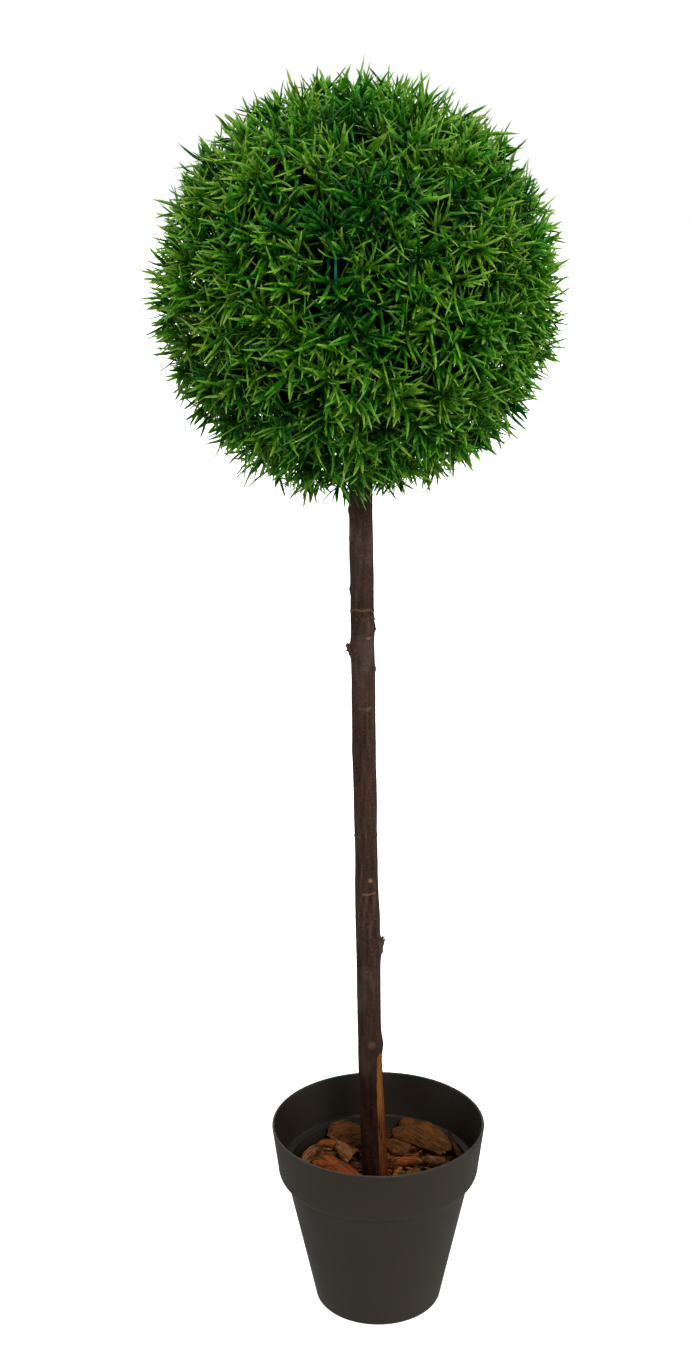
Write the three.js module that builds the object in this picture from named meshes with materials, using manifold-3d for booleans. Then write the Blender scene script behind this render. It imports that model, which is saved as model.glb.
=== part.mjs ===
// An artificial lollipop topiary: a ball of moulded leaf sprigs on a hollow core, a natural
// wood stick for a trunk, and a nursery pot with a set filling under loose bark chips.
// Millimetres, +Z up. The origin is the centre of the pot's flat underside, with +X to the
// right and +Y to the back.
import * as THREE from 'three';
import { mergeVertices } from 'three/addons/utils/BufferGeometryUtils.js';
import Module from 'manifold-3d';

const wasm = await Module();
wasm.setup();

const GAP = 0.3; // clearance between pieces that touch

// Pot: a tapered body, a wider collar with a rounded foot, and a ledge inside the collar.
const POT_HEIGHT = 194;
const POT_WALL = 2.5;
const POT_SIDES = 44;
const RIM_RADIUS = 107.6;
const COLLAR_LOW_RADIUS = 101.8;
const COLLAR_LOW = 148; // height where the collar's foot starts to round in
const BODY_TOP = 137;
const BODY_TOP_RADIUS = 92.5;
const BASE_RADIUS = 64.7;
const BASE_ROUND = 4;
const LEDGE_HEIGHT = 146;
const POT_FLOOR = 3;

// Filling and bark inside the pot.
const FILL_TOP = 124;
const BED_TOP = 131;
const BED_RADIUS = 86;
const BED_CORNERS = 20;
const BED_SHOULDER = 0.6; // share of the bed's depth where its side stops
// The bed's uneven rings inwards from its side: share of its radius, and how far spots sink.
const BED_RINGS = [[0.8, 3], [0.5, 3], [0.25, 2]];
const CHIP_CORNERS = 8;
const CHIP_REACH = 0.54; // share of a chip's length and width from its middle to a corner
const CHIP_WORN = 0.84; // share of its outline that is left on the upper and lower faces
const CHIP_RAGGED = 0.8; // the nearest corner against the furthest one

// Trunk: a stick that leans and bows a little, swells at its foot and has lost bark on one side.
const TRUNK_LOW = 20;
const TRUNK_HIGH = 1110;
const TRUNK_SIDES = 14;
const TRUNK_STEP = 24;
const TRUNK_RADIUS_LOW = 11.6;
const TRUNK_RADIUS_HIGH = 10.6;
const TRUNK_START = -2;
const TRUNK_LEAN = -15.5; // sideways run over one metre of height
const TRUNK_BOW = -2.4;
const TRUNK_BOW_BACK = 3;
const FOOT_SWELL = 1.9;
const FOOT_KICK = 3; // the foot's sideways step to the right, below the peel's top
const PEEL_TOP = 276;
const PEEL_DEPTH = 1.1;
const PEEL_MIDDLE = -25; // degrees round from +X
const PEEL_HALF_WIDTH = 38;
const KNOT_WIDTH = 5;
const KNOT_SPREAD = 18; // degrees round the trunk

// Ball: a clipped round head of sprigs that stand out of a hollow core in two halves.
const BALL_CENTRE = new THREE.Vector3(-18, 0, 1020);
const CORE_RADIUS = 135;
const CORE_WALL = 3;
const CORE_SIDES = 22;
const CORE_STEPS = 7;
const CORE_SEAM = 0.1; // degrees from the middle of the seam to each edge
const CAVITY_RADIUS = 138;
const LEAF_RADIUS = 171; // where the leaves are dense between two sprigs
const TIP_RADIUS = 193; // the furthest leaf tips
const SAG = 7; // how much further the sprigs hang under the ball
const SPRIG_COUNT = 150;
const SPRIG_SPREAD = 0.13; // radians
const SPRIG_SHORTEST = 0.7; // the shortest tuft against the longest
const BALL_DETAIL = 10;
const CAVITY_DETAIL = 5;

const radians = THREE.MathUtils.degToRad;
const lerp = THREE.MathUtils.lerp;

function seededRandom(seed) {
  let state = seed;
  return () => {
    state = (state + 0x6d2b79f5) | 0;
    let mixed = Math.imul(state ^ (state >>> 15), 1 | state);
    mixed = (mixed + Math.imul(mixed ^ (mixed >>> 7), 61 | mixed)) ^ mixed;
    return ((mixed ^ (mixed >>> 14)) >>> 0) / 4294967296;
  };
}

// A closed geometry as a solid for cutting, and a cut solid back as a geometry.
function toSolid(geometry) {
  const bare = geometry.clone();
  bare.deleteAttribute('normal');
  bare.deleteAttribute('uv');
  const merged = mergeVertices(bare, 1e-3);
  return new wasm.Manifold(new wasm.Mesh({
    numProp: 3,
    vertProperties: merged.attributes.position.array,
    triVerts: new Uint32Array(merged.index.array),
  }));
}

function toGeometry(solid) {
  const mesh = solid.getMesh();
  const geometry = new THREE.BufferGeometry();
  geometry.setAttribute('position', new THREE.BufferAttribute(mesh.vertProperties, mesh.numProp));
  geometry.setIndex(new THREE.BufferAttribute(mesh.triVerts, 1));
  geometry.computeVertexNormals();
  return geometry;
}

// The largest body that is left of a geometry when others are cut out of it.
function cutAway(geometry, cutters) {
  let solid = toSolid(geometry);
  for (const cutter of cutters) {
    solid = solid.subtract(toSolid(cutter));
  }
  const bodies = solid.decompose().sort((a, b) => b.volume() - a.volume());
  return toGeometry(bodies[0]);
}

// A closed skin over a stack of rings that all have the same number of corners.
function ringGeometry(rings) {
  const corners = rings[0].length;
  const points = rings.flat();
  const faces = [];
  for (let level = 0; level + 1 < rings.length; level += 1) {
    for (let i = 0; i < corners; i += 1) {
      const a = level * corners + i;
      const b = level * corners + ((i + 1) % corners);
      faces.push(a, b, b + corners, a, b + corners, a + corners);
    }
  }
  const middleOf = (ring) => ring
    .reduce((sum, point) => sum.add(point), new THREE.Vector3())
    .divideScalar(corners);
  const low = points.push(middleOf(rings[0])) - 1;
  const high = points.push(middleOf(rings[rings.length - 1])) - 1;
  const lastRing = (rings.length - 1) * corners;
  for (let i = 0; i < corners; i += 1) {
    const next = (i + 1) % corners;
    faces.push(low, next, i, high, lastRing + i, lastRing + next);
  }
  const geometry = new THREE.BufferGeometry().setFromPoints(points);
  geometry.setIndex(faces);
  geometry.computeVertexNormals();
  return geometry;
}

// A ring of points round the Z axis.
function ring(corners, height, radiusAt) {
  return Array.from({ length: corners }, (_, i) => {
    const angle = (2 * Math.PI * i) / corners;
    const radius = radiusAt(angle);
    return new THREE.Vector3(radius * Math.cos(angle), radius * Math.sin(angle), height);
  });
}

// A profile of radius and height turned round the Z axis.
function turned(profile, sides) {
  return new THREE.LatheGeometry(profile, sides).rotateX(Math.PI / 2);
}

// Points on a quarter or other part of an ellipse, as radius and height.
function arc(middleRadius, middleHeight, across, up, fromDegrees, toDegrees, steps) {
  return Array.from({ length: steps + 1 }, (_, i) => {
    const angle = radians(lerp(fromDegrees, toDegrees, i / steps));
    return new THREE.Vector2(
      middleRadius + across * Math.cos(angle),
      middleHeight + up * Math.sin(angle),
    );
  });
}

function named(name, geometry, material) {
  const mesh = new THREE.Mesh(geometry, material);
  mesh.name = name;
  return mesh;
}

const potPlastic = new THREE.MeshStandardMaterial({ color: 0x3b382f, roughness: 0.6 });
const setFilling = new THREE.MeshStandardMaterial({ color: 0x4a463f, roughness: 0.95 });
const fineBark = new THREE.MeshStandardMaterial({ color: 0x3a2216, roughness: 0.95 });
const barkChip = new THREE.MeshStandardMaterial({ color: 0x9a5a30, roughness: 0.85 });
const stickWood = new THREE.MeshStandardMaterial({ color: 0x54402f, roughness: 0.75 });
const corePlastic = new THREE.MeshStandardMaterial({ color: 0x14301c, roughness: 0.6 });
const leafPlastic = new THREE.MeshStandardMaterial({ color: 0x4c7a2a, roughness: 0.55 });

// The body's outer radius at a height, and the wall's inner face there.
function bodyRadius(height) {
  return lerp(BASE_RADIUS, BODY_TOP_RADIUS, (height - BASE_ROUND) / (BODY_TOP - BASE_ROUND));
}

function insideRadius(height) {
  return bodyRadius(height) - POT_WALL;
}

// The pot's shell. Growing it moves its inner faces inwards, to cut clearance round what it holds.
function potGeometry(grow) {
  const wall = POT_WALL + grow;
  const inside = (height) => insideRadius(height) - grow;
  const collarFoot = arc(
    BODY_TOP_RADIUS, COLLAR_LOW, COLLAR_LOW_RADIUS - BODY_TOP_RADIUS, COLLAR_LOW - BODY_TOP,
    -90, 0, 4,
  );
  const baseEdge = arc(
    BASE_RADIUS - BASE_ROUND, BASE_ROUND, BASE_ROUND, BASE_ROUND,
    -90, 0, 3,
  );
  return turned([
    new THREE.Vector2(0, 0),
    ...baseEdge,
    ...collarFoot,
    new THREE.Vector2(RIM_RADIUS, POT_HEIGHT),
    new THREE.Vector2(RIM_RADIUS - wall, POT_HEIGHT),
    new THREE.Vector2(COLLAR_LOW_RADIUS - wall, LEDGE_HEIGHT + wall),
    new THREE.Vector2(COLLAR_LOW_RADIUS - 1.5 * wall, LEDGE_HEIGHT + grow),
    new THREE.Vector2(inside(LEDGE_HEIGHT), LEDGE_HEIGHT + grow),
    new THREE.Vector2(inside(BASE_ROUND), BASE_ROUND),
    new THREE.Vector2(inside(BASE_ROUND) - POT_FLOOR, POT_FLOOR + grow),
    new THREE.Vector2(0, POT_FLOOR + grow),
  ], POT_SIDES);
}

// The filling is cast round the trunk's foot and sets to the shape of the pot.
function fillingGeometry(trunkCutter) {
  const low = POT_FLOOR + GAP;
  const lowCorner = BASE_ROUND + GAP;
  const plug = turned([
    new THREE.Vector2(0, low),
    new THREE.Vector2(insideRadius(BASE_ROUND) - POT_FLOOR - GAP, low),
    new THREE.Vector2(insideRadius(lowCorner) - 2 * GAP, lowCorner),
    new THREE.Vector2(insideRadius(FILL_TOP) - 2 * GAP, FILL_TOP),
    new THREE.Vector2(0, FILL_TOP),
  ], POT_SIDES);
  return cutAway(plug, [trunkCutter]);
}

// Fine bark under the chips, as one uneven layer.
function barkBedGeometry(trunkCutter) {
  const random = seededRandom(41);
  const low = FILL_TOP + GAP;
  const uneven = (radius, height, drop) => (
    ring(BED_CORNERS, height, () => radius * lerp(0.94, 1, random()))
      .map((point) => point.setZ(height - drop * random()))
  );
  const layer = ringGeometry([
    ring(BED_CORNERS, low, () => BED_RADIUS - 4),
    uneven(BED_RADIUS, lerp(low, BED_TOP, BED_SHOULDER), 1),
    ...BED_RINGS.map(([share, drop]) => uneven(share * BED_RADIUS, BED_TOP, drop)),
  ]);
  return cutAway(layer, [trunkCutter]);
}

// The larger chips, lowest first: centre, then length, width and thickness, then the turn of
// the long side from +X, how far that side tips up, and how far the chip rolls, in degrees.
const CHIPS = [
  { at: [-20, -50, 137], size: [52, 27, 8], turn: 12, tip: -4, roll: 6 },
  { at: [32, -50, 137], size: [50, 24, 8], turn: 24, tip: 5, roll: -6 },
  { at: [-60, -38, 138], size: [42, 22, 7], turn: -62, tip: 4, roll: 5 },
  { at: [66, -34, 138], size: [38, 20, 7], turn: 62, tip: -6, roll: 8 },
  { at: [-46, -3, 143], size: [60, 30, 9], turn: -42, tip: -6, roll: 16 },
  { at: [-69, 33, 142], size: [50, 17, 8], turn: 56, tip: 6, roll: 10 },
  { at: [-34, 60, 145], size: [40, 34, 8], turn: 4, tip: 6, roll: 32 },
  { at: [-2, 78, 139], size: [40, 20, 7], turn: -8, tip: 3, roll: 8 },
  { at: [19, 44, 140], size: [40, 22, 8], turn: -58, tip: 3, roll: 8 },
  { at: [47, 52, 149], size: [76, 40, 8], turn: -52, tip: -2, roll: 16 },
  { at: [30, 13, 141], size: [34, 16, 7], turn: 10, tip: 4, roll: 8 },
  { at: [57, 9, 144], size: [28, 13, 7], turn: -14, tip: -4, roll: 10 },
  { at: [35, -8, 139], size: [26, 13, 7], turn: 32, tip: 6, roll: -8 },
  { at: [53, -17, 143], size: [28, 13, 7], turn: 16, tip: 6, roll: 8 },
  { at: [-37, 25, 149], size: [48, 18, 8], turn: -56, tip: -8, roll: 8 },
  { at: [-55, 31, 152], size: [22, 14, 6], turn: -18, tip: 8, roll: -10 },
  { at: [79, 27, 150], size: [58, 7, 7], turn: -76, tip: -6, roll: 0 },
  { at: [2, -74, 139], size: [44, 17, 7], turn: -6, tip: 2, roll: 6 },
];

// One chip about its own middle: a ragged slab with a worn edge. Growing it gives the
// clearance when a neighbour is cut by it.
function chipGeometry(chip, index, grow) {
  const random = seededRandom(900 + index);
  const [length, width, thickness] = chip.size;
  const ragged = Array.from({ length: CHIP_CORNERS }, () => lerp(CHIP_RAGGED, 1, random()));
  const outline = (share, height) => ragged.map((reach, i) => {
    const angle = (2 * Math.PI * (i + 0.5)) / CHIP_CORNERS;
    return new THREE.Vector3(
      (CHIP_REACH * length * share * reach + grow) * Math.cos(angle),
      (CHIP_REACH * width * share * reach + grow) * Math.sin(angle),
      height,
    );
  });
  const half = thickness / 2 + grow;
  return ringGeometry([outline(CHIP_WORN, -half), outline(1, 0), outline(CHIP_WORN, half)]);
}

function placeChip(mesh, chip) {
  mesh.position.fromArray(chip.at);
  mesh.rotation.set(radians(chip.roll), radians(-chip.tip), radians(chip.turn), 'ZYX');
  mesh.updateMatrix();
}

// The chips lie in a heap: each is cut back where something round it, or one laid before it,
// is in the way.
function barkChips(around) {
  const laid = [];
  return CHIPS.map((chip, index) => {
    const mesh = named(`bark_chip_${String(index + 1).padStart(2, '0')}`, undefined, barkChip);
    placeChip(mesh, chip);
    const toChip = mesh.matrix.clone().invert();
    const inTheWay = [...around, ...laid].map((cutter) => cutter.clone().applyMatrix4(toChip));
    mesh.geometry = cutAway(chipGeometry(chip, index, 0), inTheWay);
    laid.push(chipGeometry(chip, index, GAP).applyMatrix4(mesh.matrix));
    return mesh;
  });
}

// Knots and twig stubs: height, degrees round from +X, and how far each stands out.
const KNOTS = [
  { height: 820, round: 190, out: 1.2 },
  { height: 745, round: 184, out: 1 },
  { height: 708, round: -8, out: 2.2 },
  { height: 692, round: 190, out: 5.5 },
  { height: 449, round: -50, out: 0.8 },
  { height: 392, round: -6, out: 6 },
];

function trunkMiddle(height) {
  const share = height / 1000;
  const bow = Math.sin(Math.PI * share);
  const kick = 1 - THREE.MathUtils.smoothstep(height, FILL_TOP, PEEL_TOP - 30);
  return new THREE.Vector3(
    TRUNK_START + TRUNK_LEAN * share + TRUNK_BOW * bow + FOOT_KICK * kick,
    TRUNK_BOW_BACK * bow,
    height,
  );
}

function trunkRadius(height, angle) {
  const share = (height - TRUNK_LOW) / (TRUNK_HIGH - TRUNK_LOW);
  const taper = lerp(TRUNK_RADIUS_LOW, TRUNK_RADIUS_HIGH, share);
  const swell = FOOT_SWELL * (1 - THREE.MathUtils.smoothstep(height, FILL_TOP, PEEL_TOP + 20));
  const degreesFrom = (middle) => {
    const turn = THREE.MathUtils.radToDeg(angle) - middle;
    return Math.abs(THREE.MathUtils.euclideanModulo(turn + 180, 360) - 180);
  };
  const peeled = height < PEEL_TOP && degreesFrom(PEEL_MIDDLE) < PEEL_HALF_WIDTH ? PEEL_DEPTH : 0;
  const knots = KNOTS.reduce((sum, knot) => {
    const away = Math.abs(height - knot.height) / KNOT_WIDTH;
    const aside = degreesFrom(knot.round) / KNOT_SPREAD;
    return sum + knot.out * Math.max(0, 1 - away) * Math.max(0, 1 - aside);
  }, 0);
  return taper + swell + knots - peeled;
}

function trunkGeometry(grow) {
  const heights = [TRUNK_LOW - grow, PEEL_TOP - 2, PEEL_TOP + 2, TRUNK_HIGH + grow];
  for (let height = TRUNK_LOW + TRUNK_STEP; height < TRUNK_HIGH - 1; height += TRUNK_STEP) {
    heights.push(height);
  }
  KNOTS.forEach(({ height }) => heights.push(height - KNOT_WIDTH, height, height + KNOT_WIDTH));
  heights.sort((a, b) => a - b);
  const spaced = heights.filter((height, i) => i === 0 || height - heights[i - 1] > 1);
  return ringGeometry(spaced.map((height) => {
    const middle = trunkMiddle(height).setZ(0);
    return ring(TRUNK_SIDES, height, (angle) => trunkRadius(height, angle) + grow)
      .map((point) => point.add(middle));
  }));
}

// The two bowls of the hollow core, about the ball's centre, with a seam between their edges.
function coreArc(radius, fromDegrees, toDegrees) {
  return arc(0, 0, radius, radius, fromDegrees, toDegrees, CORE_STEPS);
}

function coreLower(trunkCutter) {
  const bowl = turned([
    ...coreArc(CORE_RADIUS, -90, -CORE_SEAM),
    ...coreArc(CORE_RADIUS - CORE_WALL, -CORE_SEAM, -90),
  ], CORE_SIDES);
  return cutAway(bowl, [trunkCutter]);
}

function coreUpper() {
  return turned([
    ...coreArc(CORE_RADIUS - CORE_WALL, 90, CORE_SEAM),
    ...coreArc(CORE_RADIUS, CORE_SEAM, 90),
  ], CORE_SIDES);
}

// Evenly spread directions on a sphere, each with its own random reach from 0 to 1.
function spreadSprigs(count, random) {
  const goldenTurn = Math.PI * (3 - Math.sqrt(5));
  return Array.from({ length: count }, (_, i) => {
    const up = 1 - (2 * (i + 0.5)) / count;
    const across = Math.sqrt(1 - up * up);
    const direction = new THREE.Vector3(
      across * Math.cos(goldenTurn * i),
      across * Math.sin(goldenTurn * i),
      up,
    );
    return { direction, reach: random() };
  });
}

// The mass of leaves: clipped round, with a tuft over each sprig and dips between them, and
// cut out where the core and the trunk run through it.
function foliageGeometry(trunkCutter) {
  const sprigs = spreadSprigs(SPRIG_COUNT, seededRandom(7));
  const skin = new THREE.IcosahedronGeometry(1, BALL_DETAIL);
  const position = skin.attributes.position;
  const direction = new THREE.Vector3();
  for (let i = 0; i < position.count; i += 1) {
    direction.fromBufferAttribute(position, i).normalize();
    const rise = sprigs.reduce((most, sprig) => {
      const away = direction.angleTo(sprig.direction) / SPRIG_SPREAD;
      return Math.max(most, lerp(SPRIG_SHORTEST, 1, sprig.reach) * Math.exp(-away * away));
    }, 0);
    direction.multiplyScalar(lerp(LEAF_RADIUS, TIP_RADIUS, rise) + SAG * Math.max(0, -direction.z));
    position.setXYZ(i, direction.x, direction.y, direction.z);
  }
  const cavity = new THREE.IcosahedronGeometry(CAVITY_RADIUS, CAVITY_DETAIL);
  return cutAway(skin, [cavity, trunkCutter]);
}

const trunk = trunkGeometry(0);
const trunkCutter = trunkGeometry(GAP);
const trunkCutterInBall = trunkCutter.clone().translate(-BALL_CENTRE.x, -BALL_CENTRE.y, -BALL_CENTRE.z);
const bed = barkBedGeometry(trunkCutter);

const potGroup = new THREE.Group();
potGroup.add(
  named('pot', potGeometry(0), potPlastic),
  named('pot_filling', fillingGeometry(trunkCutter), setFilling),
  named('bark_bed', bed, fineBark),
  ...barkChips([potGeometry(GAP), trunkCutter, bed.clone().translate(0, 0, GAP)]),
);

const ballGroup = new THREE.Group();
ballGroup.position.copy(BALL_CENTRE);
ballGroup.add(
  named('core_lower', coreLower(trunkCutterInBall), corePlastic),
  named('core_upper', coreUpper(), corePlastic),
  named('foliage_ball', foliageGeometry(trunkCutterInBall), leafPlastic),
);

const topiary = new THREE.Group();
topiary.add(potGroup, named('trunk', trunk, stickWood), ballGroup);

export default topiary;
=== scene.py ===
# %% [markdown]
# # A lollipop topiary, made in Blender round its CAD frame
# The real thing is an artificial plant: a ball of moulded leaf sprigs on a hollow core,
# a natural stick for a trunk, and a nursery pot with bark chips over a set filling.
# The frame gives every place and size in metres, so nothing here is fitted by eye:
# each piece is grown, carved or turned where its CAD solid says it is.

import math

import bpy
import numpy as np
from mathutils import Matrix, Vector


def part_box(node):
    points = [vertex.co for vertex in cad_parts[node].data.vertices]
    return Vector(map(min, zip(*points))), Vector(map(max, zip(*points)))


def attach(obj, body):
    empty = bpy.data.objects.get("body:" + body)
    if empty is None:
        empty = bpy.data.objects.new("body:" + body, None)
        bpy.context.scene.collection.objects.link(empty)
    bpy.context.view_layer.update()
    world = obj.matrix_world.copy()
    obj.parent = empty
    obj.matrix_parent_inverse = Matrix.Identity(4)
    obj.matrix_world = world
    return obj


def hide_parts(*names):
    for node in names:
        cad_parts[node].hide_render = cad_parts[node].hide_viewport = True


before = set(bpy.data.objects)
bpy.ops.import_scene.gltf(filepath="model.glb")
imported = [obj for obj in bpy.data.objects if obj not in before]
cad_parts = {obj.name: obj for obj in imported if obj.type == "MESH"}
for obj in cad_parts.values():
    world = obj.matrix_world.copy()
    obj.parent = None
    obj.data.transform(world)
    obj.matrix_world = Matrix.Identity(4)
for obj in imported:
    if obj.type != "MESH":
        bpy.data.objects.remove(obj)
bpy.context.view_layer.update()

# %% [markdown]
# ## The camera
# The plant is looked down on a little, from about eye height when sitting close by.
# A perspective camera is placed by its distance, height and pitch. The plant stands
# right of the view's middle, and a small sideways shift of the lens keeps it there
# without turning the camera, so upright lines stay upright.

# %% Place the camera
CAMERA_DISTANCE = 1.647
CAMERA_HEIGHT = 1.099
CAMERA_PITCH = math.radians(15.1)
CAMERA_LENS = 47.4
CAMERA_SHIFT = -0.0236

camera_data = bpy.data.cameras.new("camera")
camera_data.lens = CAMERA_LENS
camera_data.sensor_width = 36.0
camera_data.shift_x = CAMERA_SHIFT
camera = bpy.data.objects.new("camera", camera_data)
camera.location = (0.0, -CAMERA_DISTANCE, CAMERA_HEIGHT)
camera.rotation_euler = (math.pi / 2 - CAMERA_PITCH, 0.0, 0.0)
bpy.context.scene.collection.objects.link(camera)
bpy.context.scene.camera = camera
print("camera at", tuple(round(v, 3) for v in camera.location))

# %% [markdown]
# ## Colours, noise and meshes
# Three helpers are used by every piece. Colours are written as they look on a screen
# and turned into light values. Noise is worked out on arrays of points, because a trunk
# or a leaf ball has far too many points for a loop. Meshes are made straight from arrays.

# %% Colours
def paint(code):
    """A screen colour such as "4c7a2a" as light values with an alpha of 1."""
    parts = [int(code[i:i + 2], 16) / 255 for i in (0, 2, 4)]
    return (*[p / 12.92 if p <= 0.04045 else ((p + 0.055) / 1.055) ** 2.4 for p in parts], 1.0)


# %% Noise on arrays of points
def cell_value(cells, seed):
    """A number from -1 to 1 for each whole-number cell, always the same for the same cell."""
    mixed = cells[:, 0] * 73856093 ^ cells[:, 1] * 19349663 ^ cells[:, 2] * 83492791 ^ seed * 7919
    mixed = (mixed ^ (mixed >> 13)) * 1274126177
    mixed = (mixed ^ (mixed >> 16)) & 0xFFFF
    return mixed / 32767.5 - 1.0


def noise(points, size, seed):
    """Smooth noise from -1 to 1, with bumps about as big as size (one number or three)."""
    spots = np.asarray(points, float) / size
    cells = np.floor(spots).astype(np.int64)
    ease = spots - cells
    ease = ease * ease * (3 - 2 * ease)
    total = np.zeros(len(spots))
    for corner in np.ndindex(2, 2, 2):
        side = np.array(corner)
        weight = np.prod(np.where(side == 1, ease, 1 - ease), axis=1)
        total += weight * cell_value(cells + side, seed)
    return total


def layered_noise(points, size, layers, seed):
    """Noise with finer and weaker layers on top of each other, from about -1 to 1."""
    size = np.asarray(size, float)
    total = sum(noise(points, size / 2**k, seed + k) / 2**k for k in range(layers))
    return total / (2 - 2 ** (1 - layers))


# %% Meshes from arrays
def make_piece(name, points, quads=(), tris=(), materials=(), slots=None, smooth_to=None):
    """A mesh object from arrays. smooth_to is the widest angle, in degrees, shaded as smooth."""
    quads = np.asarray(quads, np.int32).reshape(-1, 4)
    tris = np.asarray(tris, np.int32).reshape(-1, 3)
    corners = np.concatenate([quads.ravel(), tris.ravel()])
    starts = np.concatenate([np.arange(len(quads)) * 4, quads.size + np.arange(len(tris)) * 3])
    mesh = bpy.data.meshes.new(name)
    mesh.vertices.add(len(points))
    mesh.vertices.foreach_set("co", np.asarray(points, np.float32).ravel())
    mesh.loops.add(len(corners))
    mesh.loops.foreach_set("vertex_index", corners)
    mesh.polygons.add(len(starts))
    mesh.polygons.foreach_set("loop_start", starts.astype(np.int32))
    for material in materials:
        mesh.materials.append(material)
    if slots is not None:
        mesh.polygons.foreach_set("material_index", np.asarray(slots, np.int32))
    mesh.update(calc_edges=True)
    if smooth_to is not None:
        mesh.shade_smooth()
        mesh.set_sharp_from_angle(angle=math.radians(smooth_to))
    piece = bpy.data.objects.new(name, mesh)
    bpy.context.scene.collection.objects.link(piece)
    return piece


def settle(piece, slot, *nodes):
    """The piece rides on the one body and stands for CAD nodes, which are hidden. slot is not used."""
    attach(piece, "root")
    if nodes:
        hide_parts(*nodes)
    triangles = sum(len(p.vertices) - 2 for p in piece.data.polygons)
    print(f"{piece.name}: {triangles} triangles")


def add_marks(piece, name, values):
    """A number for every point, which a material can read by name."""
    marks = piece.data.attributes.new(name, "FLOAT", "POINT")
    marks.data.foreach_set("value", np.asarray(values, np.float32))


# %% Tubes and rings of points
def ring_quads(levels, sides):
    """Faces between rings of points that are stored one after the other."""
    level, side = np.meshgrid(np.arange(levels - 1), np.arange(sides), indexing="ij")
    a = (level * sides + side).ravel()
    b = (level * sides + (side + 1) % sides).ravel()
    return np.column_stack([a, b, b + sides, a + sides])


def cap_tris(first, sides, tip, upward):
    """A fan of faces from a ring to one point."""
    a = first + np.arange(sides)
    b = first + (np.arange(sides) + 1) % sides
    return np.column_stack([a, b, np.full(sides, tip)] if upward else [b, a, np.full(sides, tip)])


def closed_rings(points, sides, low_tip, high_tip):
    """Points, quads and tip faces of stacked rings, closed by a point at each end."""
    count = len(points)
    tris = np.vstack([
        cap_tris(0, sides, count, upward=False),
        cap_tris(count - sides, sides, count + 1, upward=True),
    ])
    return np.vstack([points, low_tip, high_tip]), ring_quads(count // sides, sides), tris


def join_meshes(meshes):
    """Many small meshes of points, quads and tris as one."""
    points, quads, tris = zip(*meshes)
    starts = np.cumsum([0, *map(len, points)])
    return (
        np.vstack(points),
        np.vstack([faces + start for faces, start in zip(quads, starts)]),
        np.vstack([faces + start for faces, start in zip(tris, starts)]),
    )


# %% [markdown]
# ## Materials
# Every finish is a Principled shader. A helper starts one with its plain numbers set on
# its own sockets, and small helpers add the patterns: noise in the piece's own
# coordinates, colour ramps, and bumps.

# %% Start a material
def new_finish(name, colour, roughness, specular):
    """A Principled material with a plain colour, and its nodes ready for more."""
    finish = bpy.data.materials.new(name)
    finish.use_nodes = True
    finish.diffuse_color = colour
    shader = finish.node_tree.nodes["Principled BSDF"]
    shader.inputs["Base Color"].default_value = colour
    shader.inputs["Roughness"].default_value = roughness
    shader.inputs["Specular IOR Level"].default_value = specular
    return finish, shader


class Nodes:
    """Short names for the nodes that the patterns below are made of."""

    def __init__(self, owner):
        self.tree = owner.node_tree

    def add(self, kind, **values):
        node = self.tree.nodes.new(kind)
        for name, value in values.items():
            setattr(node, name, value)
        return node

    def link(self, source, target):
        self.tree.links.new(source, target)

    def place(self, stretch=(1, 1, 1)):
        """The piece's own coordinates, stretched."""
        source = self.add("ShaderNodeTexCoord").outputs["Object"]
        mapping = self.add("ShaderNodeMapping")
        mapping.inputs["Scale"].default_value = stretch
        self.link(source, mapping.inputs["Vector"])
        return mapping.outputs["Vector"]

    def speckle(self, scale, detail=4.0, rough=0.55, stretch=(1, 1, 1), twist=0.0):
        """Cloudy noise from 0 to 1."""
        node = self.add("ShaderNodeTexNoise")
        node.inputs["Scale"].default_value = scale
        node.inputs["Detail"].default_value = detail
        node.inputs["Roughness"].default_value = rough
        node.inputs["Distortion"].default_value = twist
        self.link(self.place(stretch), node.inputs["Vector"])
        return node.outputs["Fac"]

    def mark(self, name):
        """A number that the mesh carries for each of its points."""
        node = self.add("ShaderNodeAttribute", attribute_name=name)
        return node.outputs["Fac"]

    def ramp(self, value, stops):
        """A colour ramp through (position, colour) stops."""
        node = self.add("ShaderNodeValToRGB")
        points = node.color_ramp.elements
        while len(points) < len(stops):
            points.new(0.5)
        for point, (position, colour) in zip(points, stops):
            point.position = position
            point.color = colour
        self.link(value, node.inputs["Fac"])
        return node.outputs["Color"]

    def band(self, value, low, high, start=0.0, end=1.0):
        """A value stretched so that low gives start and high gives end."""
        node = self.add("ShaderNodeMapRange")
        node.interpolation_type = "SMOOTHSTEP"
        for name, number in (("From Min", low), ("From Max", high), ("To Min", start), ("To Max", end)):
            node.inputs[name].default_value = number
        self.link(value, node.inputs["Value"])
        return node.outputs["Result"]

    def mix(self, share, first, second):
        """Two colours mixed by a share, which is a number or a socket."""
        node = self.add("ShaderNodeMix", data_type="RGBA")
        for name, value in (("Factor", share), ("A", first), ("B", second)):
            sockets = [s for s in node.inputs if s.name == name and s.enabled]
            if isinstance(value, bpy.types.NodeSocket):
                self.link(value, sockets[0])
            else:
                sockets[0].default_value = value
        return [s for s in node.outputs if s.enabled][0]

    def sum(self, first, second, how="ADD"):
        """Two numbers joined by a sum, product or other operation."""
        node = self.add("ShaderNodeMath", operation=how)
        for socket, value in zip(node.inputs, (first, second)):
            if isinstance(value, bpy.types.NodeSocket):
                self.link(value, socket)
            else:
                socket.default_value = value
        return node.outputs["Value"]

    def bump(self, height, strength, distance):
        """A bump from a height."""
        node = self.add("ShaderNodeBump")
        node.inputs["Strength"].default_value = strength
        node.inputs["Distance"].default_value = distance
        self.link(height, node.inputs["Height"])
        return node.outputs["Normal"]


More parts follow.
